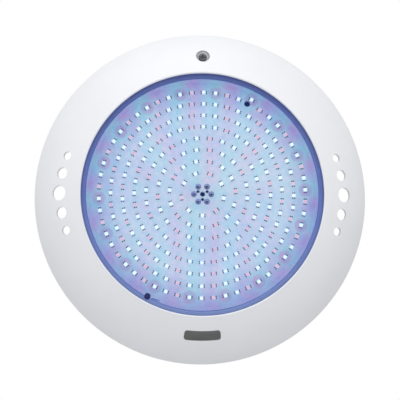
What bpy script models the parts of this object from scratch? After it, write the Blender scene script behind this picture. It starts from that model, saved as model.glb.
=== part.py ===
"""Underwater pool light, flat surface-mounted type, on its wall bracket.

Run with: blender --background --python part.py

Metres, +Z up. The wall is the plane y = 0 and the light faces -Y. The origin is on the wall, on the
lamp's axis. Parts are drawn in a local frame, carried by the empty "front_axis": x to the right,
y up the wall, z out of the wall towards the pool. Every depth below is a local z, measured from the wall.
"""

import math

import bmesh
import bpy
from mathutils import Vector

# Face ring: a domed shell with a rear collar that holds the lamp
RIM_RADIUS = 0.1450
LIP_RADIUS = 0.1023
FRONT = 0.0400
LIP_BACK = 0.0376
RIM_BACK = 0.0050
RING_WALL = 0.0030
SLOPE_AT_LIP = math.radians(22)
SLOPE_AT_RIM = math.radians(54)
EDGE_ROUND = 0.0006
RIM_ROUND = 0.0030
COLLAR_BORE = 0.1043
COLLAR_OUTER = 0.1073
COLLAR_BACK = 0.0220
RIB_WIDTH = 0.0020
RIB_DEPTH = 0.0035
RIB_FOOT = 0.1330
RIB_ANGLES = [22.5 + 45 * k for k in range(8)] + [45 + 90 * k for k in range(4)]

# The dome is one arc from the lip to the rim, in the plane of radius and depth
DOME_RADIUS = (RIM_RADIUS - LIP_RADIUS) / (math.sin(SLOPE_AT_RIM) - math.sin(SLOPE_AT_LIP))
DOME_CENTRE_R = LIP_RADIUS - DOME_RADIUS * math.sin(SLOPE_AT_LIP)
DOME_CENTRE_Z = FRONT - DOME_RADIUS * math.cos(SLOPE_AT_LIP)

# Openings through the face ring
# The flow holes start on one circle and are drilled a little inwards, so their outer walls face forward
FLOW_HOLES = [(-15.4, 0.0036), (-8.05, 0.0048), (0.0, 0.0063), (8.05, 0.0048), (15.4, 0.0036)]
FLOW_INNER_EDGE = 0.1155
FLOW_TILT = math.radians(8)
FLOW_SLOPE = math.radians(33.5)
FLOW_REACH = math.cos(FLOW_SLOPE) / math.cos(FLOW_SLOPE - FLOW_TILT)
SLOT_CIRCLE = 0.1192
SLOT_HALF_WIDTH = 0.01545
SLOT_HALF_HEIGHT = 0.0042
SLOT_CORNER = 0.0024

# Fixing screw at the top of the ring
SCREW_HEIGHT = 0.1195
SCREW_BOSS_RADIUS = 0.0090
SCREW_BOSS_BACK = 0.0126
COUNTERBORE_RADIUS = 0.0060
COUNTERBORE_FLOOR = 0.0230
SCREW_HOLE_RADIUS = 0.0030
SCREW_SHANK_RADIUS = 0.0024
SCREW_HEAD_RADIUS = 0.0035
SCREW_HEAD_HEIGHT = 0.0025
SCREW_TIP = 0.0050
WASHER_RADIUS = 0.0050
WASHER_THICKNESS = 0.0008

# Hinge pin at the bottom of the ring, which sits in the bracket's hook
PIN_HEIGHT = -0.1330
PIN_DEPTH = 0.0085
PIN_RADIUS = 0.0018
PIN_LENGTH = 0.0340
EAR_OFFSET = 0.0140
EAR_WIDTH = 0.0036
EAR_RADIUS = 0.0038

# Lamp: lens, gasket, shell, boards and resin
LENS_RADIUS = 0.1038
LENS_FRONT = 0.0373
LENS_BACK = 0.0346
LENS_CHAMFER = 0.0004
GASKET_INNER = 0.0983
GASKET_OUTER = 0.1036
GASKET_FRONT = 0.0343
GASKET_BACK = 0.0334
VENT_CIRCLE = 0.0979
VENT_ANGLE = -118.1
VENT_RADIUS = 0.0028
VENT_SLIT_LENGTH = 0.0090
VENT_SLIT_WIDTH = 0.0013
SHELL_FLANGE = 0.1040
SHELL_FRONT = 0.0331
SHELL_FLANGE_BACK = 0.0220
SHELL_OUTER = 0.0994
SHELL_BACK = 0.0150
SHELL_FLOOR = 0.0175
SHELL_BORE = 0.0969
SHELL_LEDGE = 0.0945
BOARD_RADIUS = 0.0966
BOARD_BACK = 0.0270
BOARD_FRONT = 0.0286
POUR_HOLE_CIRCLE = 0.0874
POUR_HOLE_ANGLE = 64.0
POUR_HOLE_RADIUS = 0.0023
CENTRE_HOLE_RADIUS = 0.0018
WIRE_HOLE_CIRCLE = 0.0045
WIRE_HOLE_RADIUS = 0.0011
PAD_CIRCLE = 0.0074
PAD_HOLE_RADIUS = 0.0009
RESIN_BACK = 0.0289
RESIN_FRONT = 0.0343
RESIN_LAP_RADIUS = 0.0980
RESIN_LAP_BACK = 0.0334
POTTING_RADIUS = 0.0942
POTTING_BACK = 0.0178
POTTING_FRONT = 0.0267
POTTING_WELL_RADIUS = 0.0145
POTTING_WELL_WIDTH = 0.0240

# Driver board in its pocket behind the LED board
DRIVER_CENTRE = (0.0, -0.0460)
DRIVER_SIZE = (0.0640, 0.0380)
DRIVER_BACK = 0.0246
DRIVER_FRONT = 0.0262
POCKET_MARGIN = 0.0020
POCKET_BACK = 0.0189
COMPONENT_GAP = 0.0003

# Leads
LEAD_RADIUS = 0.0006
LEAD_DEPTH = 0.0254
LEAD_TIP = 0.0286

# Clamp ring and its screws
CLAMP_INNER = 0.0998
CLAMP_OUTER = 0.1090
CLAMP_BACK = 0.0193
CLAMP_FRONT = 0.0217
CLAMP_SCREW_CIRCLE = 0.1092
CLAMP_SCREW_ANGLES = [22.5 + 45 * k for k in range(8)]
CLAMP_EAR_RADIUS = 0.0043
CLAMP_BOSS_RADIUS = 0.0042
CLAMP_SCREW_RADIUS = 0.0015
CLAMP_SCREW_HEAD_RADIUS = 0.0031
CLAMP_SCREW_HEAD_HEIGHT = 0.0018
CLAMP_SCREW_TIP = 0.0312
PILOT_RADIUS = 0.0018
PILOT_END = 0.0318

# Cable gland through the middle of the shell
GLAND_HOLE_RADIUS = 0.0083
GLAND_THREAD_RADIUS = 0.0080
GLAND_BORE = 0.0046
GLAND_SEAT_BORE = 0.0062
GLAND_SEAT_FRONT = 0.0096
GLAND_TAIL = 0.0045
GLAND_HEX_BACK = 0.0096
GLAND_HEX_FRONT = 0.0129
GLAND_HEX_RADIUS = 0.0124
GLAND_TOP = 0.0210
O_RING_RADIUS = 0.0100
O_RING_THICKNESS = 0.00075
SEAL_OUTER = 0.0059
SEAL_BORE = 0.0034
NUT_OUTER = 0.0108
NUT_BORE = 0.0040
NUT_CAVITY = 0.0083
NUT_BACK = 0.0022
NUT_FACE = 0.0038
NUT_FRONT = 0.0093
LOCKNUT_RADIUS = 0.0122
LOCKNUT_FRONT = 0.0206

# Wall bracket: one bent stainless plate
PLATE = 0.0020
HUB_RADIUS = 0.0460
CABLE_HOLE_RADIUS = 0.0220
WALL_HOLE_RADIUS = 0.00275
WALL_HOLE_CIRCLE = 0.0340
ARM_HOLE_HEIGHT = 0.0840
TOP_ARM_HALF_WIDTH = 0.0130
TAB_DEPTH = 0.0100
TAB_TOP = 0.1290
TAB_FOOT = 0.1030
BOTTOM_ARM_HALF_WIDTH = 0.0180
BOTTOM_ARM_END = -0.1268
BEND_HEIGHT = -0.1085
HOOK_HALF_WIDTH = 0.0090
HOOK_BORE = 0.00215
HOOK_LIP = 0.0020
HOOK_SHEET = 0.0018
CLIP_NUT_RADIUS = 0.0056
CLIP_NUT_BACK = 0.0056

GAP = 0.0003
BIG_ROUND = 48
SMALL_ROUND = 16
TINY = 0.00001

parts = None
cutters = None


# ---------------------------------------------------------------- scene and materials


def start_scene():
    """Empties the scene and makes the two collections and the empties that carry the parts."""
    global parts, cutters
    for old in list(bpy.data.objects):
        bpy.data.objects.remove(old)
    parts = bpy.data.collections.new("underwater_pool_light")
    cutters = bpy.data.collections.new("cutters")
    bpy.context.scene.collection.children.link(parts)
    bpy.context.scene.collection.children.link(cutters)
    front_axis = empty("front_axis", None, (0, 0, 0))
    front_axis.rotation_euler = (math.pi / 2, 0, 0)
    lamp_hinge = empty("lamp_hinge", front_axis, (0, PIN_HEIGHT, PIN_DEPTH))
    screw_axis = empty("screw_axis", lamp_hinge, (0, SCREW_HEIGHT, 0))
    return front_axis, lamp_hinge, screw_axis


def empty(name, parent, place):
    """An empty at a place in the local frame. Its own place is kept in "at" for its children."""
    made = bpy.data.objects.new(name, None)
    parts.objects.link(made)
    made.parent = parent
    made["at"] = place
    made.location = Vector(place) - (Vector(parent["at"]) if parent else Vector())
    return made


def material(name, colour, roughness, metallic=0.0, alpha=1.0):
    """The Principled BSDF of one kind of material, made once."""
    if name in bpy.data.materials:
        return bpy.data.materials[name]
    made = bpy.data.materials.new(name)
    made.use_nodes = True
    shader = made.node_tree.nodes["Principled BSDF"]
    shader.inputs["Base Color"].default_value = (*colour, 1.0)
    shader.inputs["Roughness"].default_value = roughness
    shader.inputs["Metallic"].default_value = metallic
    shader.inputs["Alpha"].default_value = alpha
    return made


def white_abs():
    return material("white_abs", (0.86, 0.87, 0.89), 0.38)


def clear_plastic():
    return material("clear_polycarbonate", (0.80, 0.88, 0.97), 0.08, alpha=0.3)


def clear_resin():
    return material("clear_resin", (0.60, 0.76, 0.95), 0.10, alpha=0.4)


def blue_silicone():
    return material("blue_silicone", (0.10, 0.14, 0.42), 0.5)


def black_rubber():
    return material("black_rubber", (0.03, 0.03, 0.03), 0.7)


def stainless():
    return material("stainless_steel", (0.55, 0.56, 0.55), 0.3, metallic=1.0)


def lit_board():
    return material("led_board_white", (0.62, 0.75, 0.93), 0.5)


def green_board():
    return material("driver_board_green", (0.03, 0.22, 0.10), 0.5)


def grey_epoxy():
    return material("potting_epoxy", (0.16, 0.17, 0.19), 0.6)


def black_package():
    return material("component_black", (0.03, 0.03, 0.035), 0.45)


def white_nylon():
    return material("white_nylon", (0.78, 0.78, 0.76), 0.45)


def grey_nylon():
    return material("grey_nylon", (0.30, 0.31, 0.33), 0.5)


# ---------------------------------------------------------------- shapes


def finish(made, name, place, parent, look):
    """Names an object, puts it at a local place under its parent and gives it its material."""
    made.name = name
    made.data.name = name
    made.parent = parent
    made.location = Vector(place) - Vector(parent["at"])
    if look is None:
        cutters.objects.link(made)
        made.hide_render = True
        made.display_type = "WIRE"
    else:
        parts.objects.link(made)
        made.data.materials.append(look)
        if made.type == "MESH":
            made.data.shade_smooth()
    return made


def from_bmesh(shape, name, place, parent, look):
    mesh = bpy.data.meshes.new(name)
    shape.to_mesh(mesh)
    shape.free()
    return finish(bpy.data.objects.new(name, mesh), name, place, parent, look)


def turned(name, profile, parent, look, place=(0, 0), closed=True, segments=BIG_ROUND):
    """A profile of (radius, depth) points turned about the local z axis through place."""
    mesh = bpy.data.meshes.new(name)
    edges = [(k, k + 1) for k in range(len(profile) - 1)]
    if closed:
        edges.append((len(profile) - 1, 0))
    mesh.from_pydata([(r, 0, z) for r, z in profile], edges, [])
    made = finish(bpy.data.objects.new(name, mesh), name, (*place, 0), parent, look)
    screw = made.modifiers.new("Turn", "SCREW")
    screw.steps = segments
    screw.render_steps = segments
    screw.use_merge_vertices = True
    screw.merge_threshold = TINY
    screw.use_smooth_shade = True
    return made


def drum(name, radius, back, front, parent, look, place=(0, 0), segments=SMALL_ROUND):
    """A cylinder along z between two depths."""
    shape = bmesh.new()
    bmesh.ops.create_cone(
        shape, cap_ends=True, segments=segments, radius1=radius, radius2=radius, depth=front - back
    )
    return from_bmesh(shape, name, (*place, (back + front) / 2), parent, look)


def block(name, size, centre, parent, look):
    """A box of size (x, y, z) about its centre."""
    shape = bmesh.new()
    bmesh.ops.create_cube(shape, size=1)
    bmesh.ops.scale(shape, vec=size, verts=shape.verts)
    return from_bmesh(shape, name, centre, parent, look)


def as_mesh(curve):
    """Turns a curve object into a welded mesh object, so that a Boolean can use it."""
    bpy.context.view_layer.update()
    graph = bpy.context.evaluated_depsgraph_get()
    mesh = bpy.data.meshes.new_from_object(curve.evaluated_get(graph))
    shape = bmesh.new()
    shape.from_mesh(mesh)
    bmesh.ops.remove_doubles(shape, verts=shape.verts, dist=TINY)
    bmesh.ops.recalc_face_normals(shape, faces=shape.faces)
    shape.to_mesh(mesh)
    shape.free()
    made = bpy.data.objects.new(curve.name, mesh)
    made.parent = curve.parent
    made.matrix_world = curve.matrix_world
    made.hide_render = curve.hide_render
    made.display_type = curve.display_type
    for collection in curve.users_collection:
        collection.objects.link(made)
    name = curve.name
    bpy.data.objects.remove(curve)
    made.name = name
    return made


def plate(name, outlines, thickness, centre, parent, look, side_on=False):
    """A flat prism from closed outlines, the first outside and the rest holes, as a mesh.

    Outline points are (x, y) of the local frame, or (y, z) when the plate is seen side on.
    """
    curve = bpy.data.curves.new(name, "CURVE")
    curve.dimensions = "2D"
    curve.fill_mode = "BOTH"
    curve.extrude = thickness / 2
    for outline in outlines:
        spline = curve.splines.new("POLY")
        spline.points.add(len(outline) - 1)
        for point, (a, b) in zip(spline.points, outline):
            point.co = (a, b, 0, 1)
        spline.use_cyclic_u = True
    made = finish(bpy.data.objects.new(name, curve), name, centre, parent, look)
    if side_on:
        made.rotation_euler = (math.pi / 2, 0, math.pi / 2)
    return as_mesh(made)


def wire(name, points, radius, parent, look):
    """A round wire along points, smoothed with a Catmull-Rom curve."""
    curve = bpy.data.curves.new(name, "CURVE")
    curve.dimensions = "3D"
    curve.bevel_depth = radius
    curve.bevel_resolution = 1
    curve.use_fill_caps = True
    smooth = smooth_route(points, 2)
    spline = curve.splines.new("POLY")
    spline.points.add(len(smooth) - 1)
    for point, at in zip(spline.points, smooth):
        point.co = (*at, 1)
    return finish(bpy.data.objects.new(name, curve), name, (0, 0, 0), parent, look)


def smooth_route(points, steps):
    """Points along the Catmull-Rom curve through the given points."""
    ends = [2 * points[0] - points[1]] + points + [2 * points[-1] - points[-2]]
    route = []
    for a, b, c, d in zip(ends, ends[1:], ends[2:], ends[3:]):
        for step in range(steps):
            t = step / steps
            route.append(
                0.5 * (2 * b + (c - a) * t + (2 * a - 5 * b + 4 * c - d) * t**2 + (3 * b - a - 3 * c + d) * t**3)
            )
    return route + [points[-1]]


def boolean(target, operation, tools):
    """Adds, cuts or intersects with each tool in turn."""
    for tool in tools:
        modifier = target.modifiers.new(operation.title(), "BOOLEAN")
        modifier.operation = operation
        modifier.object = tool
    return target


def on_circle(radius, degrees):
    """The (x, y) point of a circle about the lamp's axis, with angles from +x towards +y."""
    angle = math.radians(degrees)
    return radius * math.cos(angle), radius * math.sin(angle)


def arc(centre, radius, start, end, steps):
    """Points of an arc, in degrees from the first axis, both ends included."""
    angles = [math.radians(start + (end - start) * k / steps) for k in range(steps + 1)]
    return [(centre[0] + radius * math.cos(a), centre[1] + radius * math.sin(a)) for a in angles]


def dome_arc(inset, first_radius, last_radius, steps):
    """(radius, depth) points of the dome, set in from its outer face, between two radii."""
    reach = DOME_RADIUS - inset
    first = math.asin((first_radius - DOME_CENTRE_R) / reach)
    last = math.asin((last_radius - DOME_CENTRE_R) / reach)
    slopes = [first + (last - first) * k / steps for k in range(steps + 1)]
    return [(DOME_CENTRE_R + reach * math.sin(s), DOME_CENTRE_Z + reach * math.cos(s)) for s in slopes]


def dome_height(radius):
    """The depth of the dome's outer surface at a radius."""
    return DOME_CENTRE_Z + math.sqrt(DOME_RADIUS ** 2 - (radius - DOME_CENTRE_R) ** 2)


# ---------------------------------------------------------------- face ring


def ring_profile():
    """The closed section of the face ring, from the lip over the dome, the skirt and the collar."""
    lip = [(LIP_RADIUS, LIP_BACK), (LIP_RADIUS, FRONT - EDGE_ROUND)]
    outer = dome_arc(0, LIP_RADIUS + EDGE_ROUND, RIM_RADIUS - RIM_ROUND * (1 - math.sin(SLOPE_AT_RIM)), 6)
    round_centre = (RIM_RADIUS - RIM_ROUND, outer[-1][1] - RIM_ROUND * math.cos(SLOPE_AT_RIM))
    rim = arc(round_centre, RIM_ROUND, 90 - math.degrees(SLOPE_AT_RIM), 0, 4)[1:]
    rim += [(RIM_RADIUS - EDGE_ROUND, RIM_BACK), (RIM_RADIUS - RING_WALL, RIM_BACK)]
    inner = dome_arc(RING_WALL, RIM_RADIUS - RING_WALL, COLLAR_OUTER, 4)
    collar = [(COLLAR_OUTER, COLLAR_BACK), (COLLAR_BORE, COLLAR_BACK), (COLLAR_BORE, LIP_BACK)]
    return lip + outer + rim + inner + collar


def dome_envelope(parent):
    """The space under the dome's skin, which trims every boss and rib to the ring."""
    inset = RING_WALL / 2
    outer = dome_arc(inset, COLLAR_BORE + inset, RIM_RADIUS - inset, 6)
    section = outer + [(RIM_RADIUS - inset, 0), (COLLAR_BORE + inset, 0)]
    return turned("dome_envelope", section, parent, None)


def ring_additions(parent):
    """Bosses, ribs and hinge ears that are moulded inside the ring."""
    made = [drum("screw_boss", SCREW_BOSS_RADIUS, SCREW_BOSS_BACK, FRONT, parent, None, (0, SCREW_HEIGHT), 24)]
    for k, angle in enumerate(CLAMP_SCREW_ANGLES):
        place = on_circle(CLAMP_SCREW_CIRCLE, angle)
        made.append(drum(f"clamp_boss_{k}", CLAMP_BOSS_RADIUS, COLLAR_BACK, FRONT, parent, None, place, 12))
    rib_inner, rib_outer = COLLAR_BORE + RING_WALL / 2, RIM_RADIUS - RING_WALL / 2
    edge = dome_arc(RING_WALL + RIB_DEPTH, rib_inner, RIB_FOOT, 3)
    foot = [(rib_outer, 0.0074)] + edge[::-1]
    for k, angle in enumerate(RIB_ANGLES):
        outline = [(rib_inner, FRONT), (rib_outer, FRONT)] + foot
        rib = plate(f"rib_{k}", [outline], RIB_WIDTH, (0, 0, 0), parent, None, side_on=True)
        # side_on lays the outline in the plane x = 0, along +y; this turns it to its own angle
        rib.rotation_euler = (math.pi / 2, 0, math.radians(angle))
        made.append(rib)
    top = FRONT
    for side in (-1, 1):
        round_end = arc((PIN_HEIGHT, PIN_DEPTH), EAR_RADIUS, 180, 360, 10)
        outline = [(PIN_HEIGHT - EAR_RADIUS, top)] + round_end + [(PIN_HEIGHT + EAR_RADIUS, top)]
        centre = (side * EAR_OFFSET, 0, 0)
        made.append(plate(f"hinge_ear_{side}", [outline], EAR_WIDTH, centre, parent, None, side_on=True))
    return made


def slot_outline():
    """The rounded slot at the bottom, bent to follow the ring's circle."""
    u, v, c = SLOT_HALF_WIDTH - SLOT_CORNER, SLOT_HALF_HEIGHT - SLOT_CORNER, SLOT_CORNER
    corners = (
        arc((u, v), c, 0, 90, 4) + arc((-u, v), c, 90, 180, 4) + arc((-u, -v), c, 180, 270, 4)
        + arc((u, -v), c, 270, 360, 4)
    )
    return [on_circle(SLOT_CIRCLE - b, -90 + math.degrees(a / SLOT_CIRCLE)) for a, b in corners]


def ring_cuts(parent):
    """Flow holes, the slot, the screw's counterbore and hole, the pilot holes and the pin's hole."""
    made = []
    for side, middle in (("left", 180), ("right", 0)):
        for k, (angle, radius) in enumerate(FLOW_HOLES):
            centre_radius = FLOW_INNER_EDGE + radius * FLOW_REACH
            place = on_circle(centre_radius, middle + angle)
            height = dome_height(centre_radius)
            name = f"flow_hole_{side}_{k}"
            hole = drum(name, radius, height - 0.015, height + 0.015, parent, None, place, 20)
            hole.rotation_euler = (0, FLOW_TILT, math.radians(middle + angle))
            made.append(hole)
    made.append(plate("slot_cutter", [slot_outline()], 0.06, (0, 0, 0.03), parent, None))
    place = (0, SCREW_HEIGHT)
    made.append(drum("counterbore", COUNTERBORE_RADIUS, COUNTERBORE_FLOOR, 0.05, parent, None, place, 24))
    made.append(drum("screw_hole", SCREW_HOLE_RADIUS, 0, 0.03, parent, None, place, 16))
    for k, angle in enumerate(CLAMP_SCREW_ANGLES):
        place = on_circle(CLAMP_SCREW_CIRCLE, angle)
        made.append(drum(f"pilot_{k}", PILOT_RADIUS, 0.0, PILOT_END, parent, None, place, 8))
    pin_hole = cross_rod("pin_hole", PIN_RADIUS + GAP, 0.06, parent, None)
    made.append(pin_hole)
    return made


def cross_rod(name, radius, length, parent, look):
    """A rod along x at the hinge."""
    shape = bmesh.new()
    bmesh.ops.create_cone(
        shape, cap_ends=True, segments=SMALL_ROUND, radius1=radius, radius2=radius, depth=length
    )
    made = from_bmesh(shape, name, (0, PIN_HEIGHT, PIN_DEPTH), parent, look)
    made.rotation_euler = (0, math.pi / 2, 0)
    return made


def make_face_ring(lamp):
    ring = turned("face_ring", ring_profile(), lamp, white_abs())
    envelope = dome_envelope(lamp)
    additions = ring_additions(lamp)
    for addition in additions:
        boolean(addition, "INTERSECT", [envelope])
    boolean(ring, "UNION", additions)
    boolean(ring, "DIFFERENCE", ring_cuts(lamp))
    cross_rod("hinge_pin", PIN_RADIUS, PIN_LENGTH, lamp, stainless())


# ---------------------------------------------------------------- lamp


def make_optics(lamp):
    """Lens, gasket and the clear resin over the LED board."""
    edge = LENS_RADIUS - LENS_CHAMFER
    lens = [(0, LENS_FRONT), (edge, LENS_FRONT), (LENS_RADIUS, LENS_FRONT - LENS_CHAMFER)]
    lens += [(LENS_RADIUS, LENS_BACK), (0, LENS_BACK)]
    turned("lens", lens, lamp, clear_plastic(), closed=False)
    section = [(GASKET_INNER, GASKET_FRONT), (GASKET_OUTER, GASKET_FRONT)]
    section += [(GASKET_OUTER, GASKET_BACK), (GASKET_INNER, GASKET_BACK)]
    gasket = turned("lens_gasket", section, lamp, blue_silicone())
    vent = drum("vent_notch", VENT_RADIUS, 0.03, 0.04, lamp, None, on_circle(VENT_CIRCLE, VENT_ANGLE))
    slit_middle = VENT_ANGLE + math.degrees((VENT_RADIUS + VENT_SLIT_LENGTH / 2) / GASKET_INNER)
    slit_centre = (*on_circle(GASKET_INNER, slit_middle), 0.035)
    slit = block("vent_slit", (2 * VENT_SLIT_WIDTH, VENT_SLIT_LENGTH, 0.01), slit_centre, lamp, None)
    slit.rotation_euler = (0, 0, math.radians(slit_middle))
    boolean(gasket, "DIFFERENCE", [vent, slit])
    resin = [(0, RESIN_FRONT), (RESIN_LAP_RADIUS, RESIN_FRONT), (RESIN_LAP_RADIUS, RESIN_LAP_BACK)]
    resin += [(BOARD_RADIUS, RESIN_LAP_BACK), (BOARD_RADIUS, RESIN_BACK), (0, RESIN_BACK)]
    turned("front_resin", resin, lamp, clear_resin(), closed=False)


def make_shell(lamp):
    """The rear shell: a dish with a flange, a ledge for the LED board and a hole for the gland."""
    fillet = 0.004
    section = [
        (GLAND_HOLE_RADIUS, SHELL_FLOOR),
        (SHELL_LEDGE, SHELL_FLOOR),
        (SHELL_LEDGE, BOARD_BACK - GAP),
        (SHELL_BORE, BOARD_BACK - GAP),
        (SHELL_BORE, SHELL_FRONT),
        (SHELL_FLANGE, SHELL_FRONT),
        (SHELL_FLANGE, SHELL_FLANGE_BACK),
        (SHELL_OUTER, SHELL_FLANGE_BACK),
    ]
    section += arc((SHELL_OUTER - fillet, SHELL_BACK + fillet), fillet, 0, -90, 2)
    section.append((GLAND_HOLE_RADIUS, SHELL_BACK))
    turned("lamp_shell", section, lamp, white_abs())


def make_led_board(lamp):
    """The LED board, with its wire holes, its six lead holes and the hole the resin is poured through."""
    board = drum("led_board", BOARD_RADIUS, BOARD_BACK, BOARD_FRONT, lamp, lit_board(), segments=BIG_ROUND)
    holes = [("centre_hole", CENTRE_HOLE_RADIUS, (0, 0))]
    holes.append(("pour_hole", POUR_HOLE_RADIUS, on_circle(POUR_HOLE_CIRCLE, POUR_HOLE_ANGLE)))
    for k in range(3):
        holes.append((f"wire_hole_{k}", WIRE_HOLE_RADIUS, on_circle(WIRE_HOLE_CIRCLE, 30 + 120 * k)))
    for k in range(6):
        holes.append((f"lead_hole_{k}", PAD_HOLE_RADIUS, on_circle(PAD_CIRCLE, 60 * k)))
    cuts = [drum(name, radius, 0.02, 0.04, lamp, None, place, 12) for name, radius, place in holes]
    boolean(board, "DIFFERENCE", cuts)


def make_potting(lamp):
    """The epoxy behind the LED board, open where the driver board, the leads and the gland stand in it."""
    section = [(POTTING_WELL_RADIUS, POTTING_FRONT), (POTTING_RADIUS, POTTING_FRONT)]
    section += [(POTTING_RADIUS, POTTING_BACK), (POTTING_WELL_RADIUS, POTTING_BACK)]
    potting = turned("potting_block", section, lamp, grey_epoxy())
    pocket_size = (DRIVER_SIZE[0] + 2 * POCKET_MARGIN, DRIVER_SIZE[1] + 2 * POCKET_MARGIN, 0.02)
    pocket = block("driver_pocket", pocket_size, (*DRIVER_CENTRE, POCKET_BACK + 0.01), lamp, None)
    channel_size = (POTTING_WELL_WIDTH, 0.030, 0.02)
    channel = block("lead_channel", channel_size, (0, -0.0215, POCKET_BACK + 0.01), lamp, None)
    boolean(potting, "DIFFERENCE", [pocket, channel])


def make_driver(lamp):
    """The driver board and its components, which hang from its rear face."""
    x0, y0 = DRIVER_CENTRE
    middle = (DRIVER_BACK + DRIVER_FRONT) / 2
    size = (*DRIVER_SIZE, DRIVER_FRONT - DRIVER_BACK)
    block("driver_board", size, (x0, y0, middle), lamp, green_board())
    top = DRIVER_BACK - COMPONENT_GAP

    def component(name, place, extent, look):
        centre = (x0 + place[0], y0 + place[1], top - extent[2] / 2)
        block(name, extent, centre, lamp, look)

    component("rectifier", (-0.022, -0.010), (0.010, 0.0085, 0.0034), black_package())
    component("controller_ic", (0.0, -0.010), (0.0100, 0.0062, 0.0016), black_package())
    component("terminal_block", (0.0, 0.0135), (0.0120, 0.0070, 0.0046), grey_nylon())
    for k in range(3):
        component(f"mosfet_{k + 1}", (-0.009 + 0.009 * k, 0.002), (0.0066, 0.0061, 0.0023), black_package())
    drum("inductor", 0.0055, top - 0.0045, top, lamp, black_package(), (x0 - 0.022, y0 + 0.008))
    for k in range(2):
        place = (x0 + 0.022, y0 - 0.009 + 0.0085 * k)
        lying_drum(f"capacitor_{k + 1}", 0.0024, 0.0120, (*place, top - 0.0025), lamp)


def lying_drum(name, radius, length, centre, parent):
    """An electrolytic capacitor lying along x."""
    shape = bmesh.new()
    bmesh.ops.create_cone(
        shape, cap_ends=True, segments=SMALL_ROUND, radius1=radius, radius2=radius, depth=length
    )
    made = from_bmesh(shape, name, centre, parent, material("capacitor_sleeve", (0.05, 0.06, 0.15), 0.4))
    made.rotation_euler = (0, math.pi / 2, 0)
    return made


def make_leads(lamp):
    """Six leads from the driver board to the pads of the LED board."""
    insulation = {
        "red": (0.55, 0.03, 0.03),
        "green": (0.04, 0.35, 0.08),
        "blue": (0.03, 0.08, 0.50),
        "white": (0.80, 0.80, 0.78),
        "yellow": (0.75, 0.60, 0.05),
        "black": (0.02, 0.02, 0.02),
    }
    lanes = [0.0074, 0.0012, -0.0012, -0.0074, -0.0037, 0.0037]
    board_edge = DRIVER_CENTRE[1] + DRIVER_SIZE[1] / 2 + GAP
    for k, (colour, lane) in enumerate(zip(insulation, lanes)):
        x, y = on_circle(PAD_CIRCLE, 60 * k)
        points = [
            Vector((lane, board_edge, LEAD_DEPTH)),
            Vector((lane, (board_edge + y - 0.004) / 2, LEAD_DEPTH)),
            Vector(((lane + x) / 2, y - 0.0040, LEAD_DEPTH - 0.0002)),
            Vector((x, y - 0.0010, LEAD_DEPTH)),
            Vector((x, y, BOARD_BACK)),
            Vector((x, y, LEAD_TIP)),
        ]
        look = material(f"lead_{colour}", insulation[colour], 0.45)
        wire(f"led_lead_{k + 1}", points, LEAD_RADIUS, lamp, look)


def make_clamp(lamp):
    """The rear ring that presses shell, gasket and lens against the face ring's lip, and its screws."""
    section = [(CLAMP_INNER, CLAMP_FRONT), (CLAMP_OUTER, CLAMP_FRONT)]
    section += [(CLAMP_OUTER, CLAMP_BACK), (CLAMP_INNER, CLAMP_BACK)]
    ring = turned("clamp_ring", section, lamp, grey_nylon())
    ears, holes = [], []
    for k, angle in enumerate(CLAMP_SCREW_ANGLES):
        place = on_circle(CLAMP_SCREW_CIRCLE, angle)
        ears.append(drum(f"clamp_ear_{k}", CLAMP_EAR_RADIUS, CLAMP_BACK, CLAMP_FRONT, lamp, None, place, 16))
        holes.append(drum(f"clamp_hole_{k}", PILOT_RADIUS, 0.01, 0.03, lamp, None, place, 8))
        clamp_screw(f"clamp_screw_{k + 1}", place, lamp)
    boolean(ring, "UNION", ears)
    boolean(ring, "DIFFERENCE", holes)


def clamp_screw(name, place, lamp):
    """A pan-head self-tapping screw, driven in from behind."""
    under_head = CLAMP_BACK - GAP
    crown = under_head - CLAMP_SCREW_HEAD_HEIGHT
    section = [
        (0, CLAMP_SCREW_TIP),
        (CLAMP_SCREW_RADIUS * 0.4, CLAMP_SCREW_TIP),
        (CLAMP_SCREW_RADIUS, CLAMP_SCREW_TIP - 0.002),
        (CLAMP_SCREW_RADIUS, under_head),
        (CLAMP_SCREW_HEAD_RADIUS, under_head),
        (CLAMP_SCREW_HEAD_RADIUS * 0.95, crown + 0.0007),
        (CLAMP_SCREW_HEAD_RADIUS * 0.6, crown),
        (0, crown),
    ]
    turned(name, section, lamp, stainless(), place, closed=False, segments=10)


def hexagon(name, radius, back, front, parent, look, bore=None):
    """A six-sided prism with flats to the left and right, with or without a bore."""
    body = drum(name, radius, back, front, parent, look, segments=6)
    if bore:
        boolean(body, "DIFFERENCE", [drum(f"{name}_bore", bore, back - 0.01, front + 0.01, parent, None)])
    return body


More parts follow.
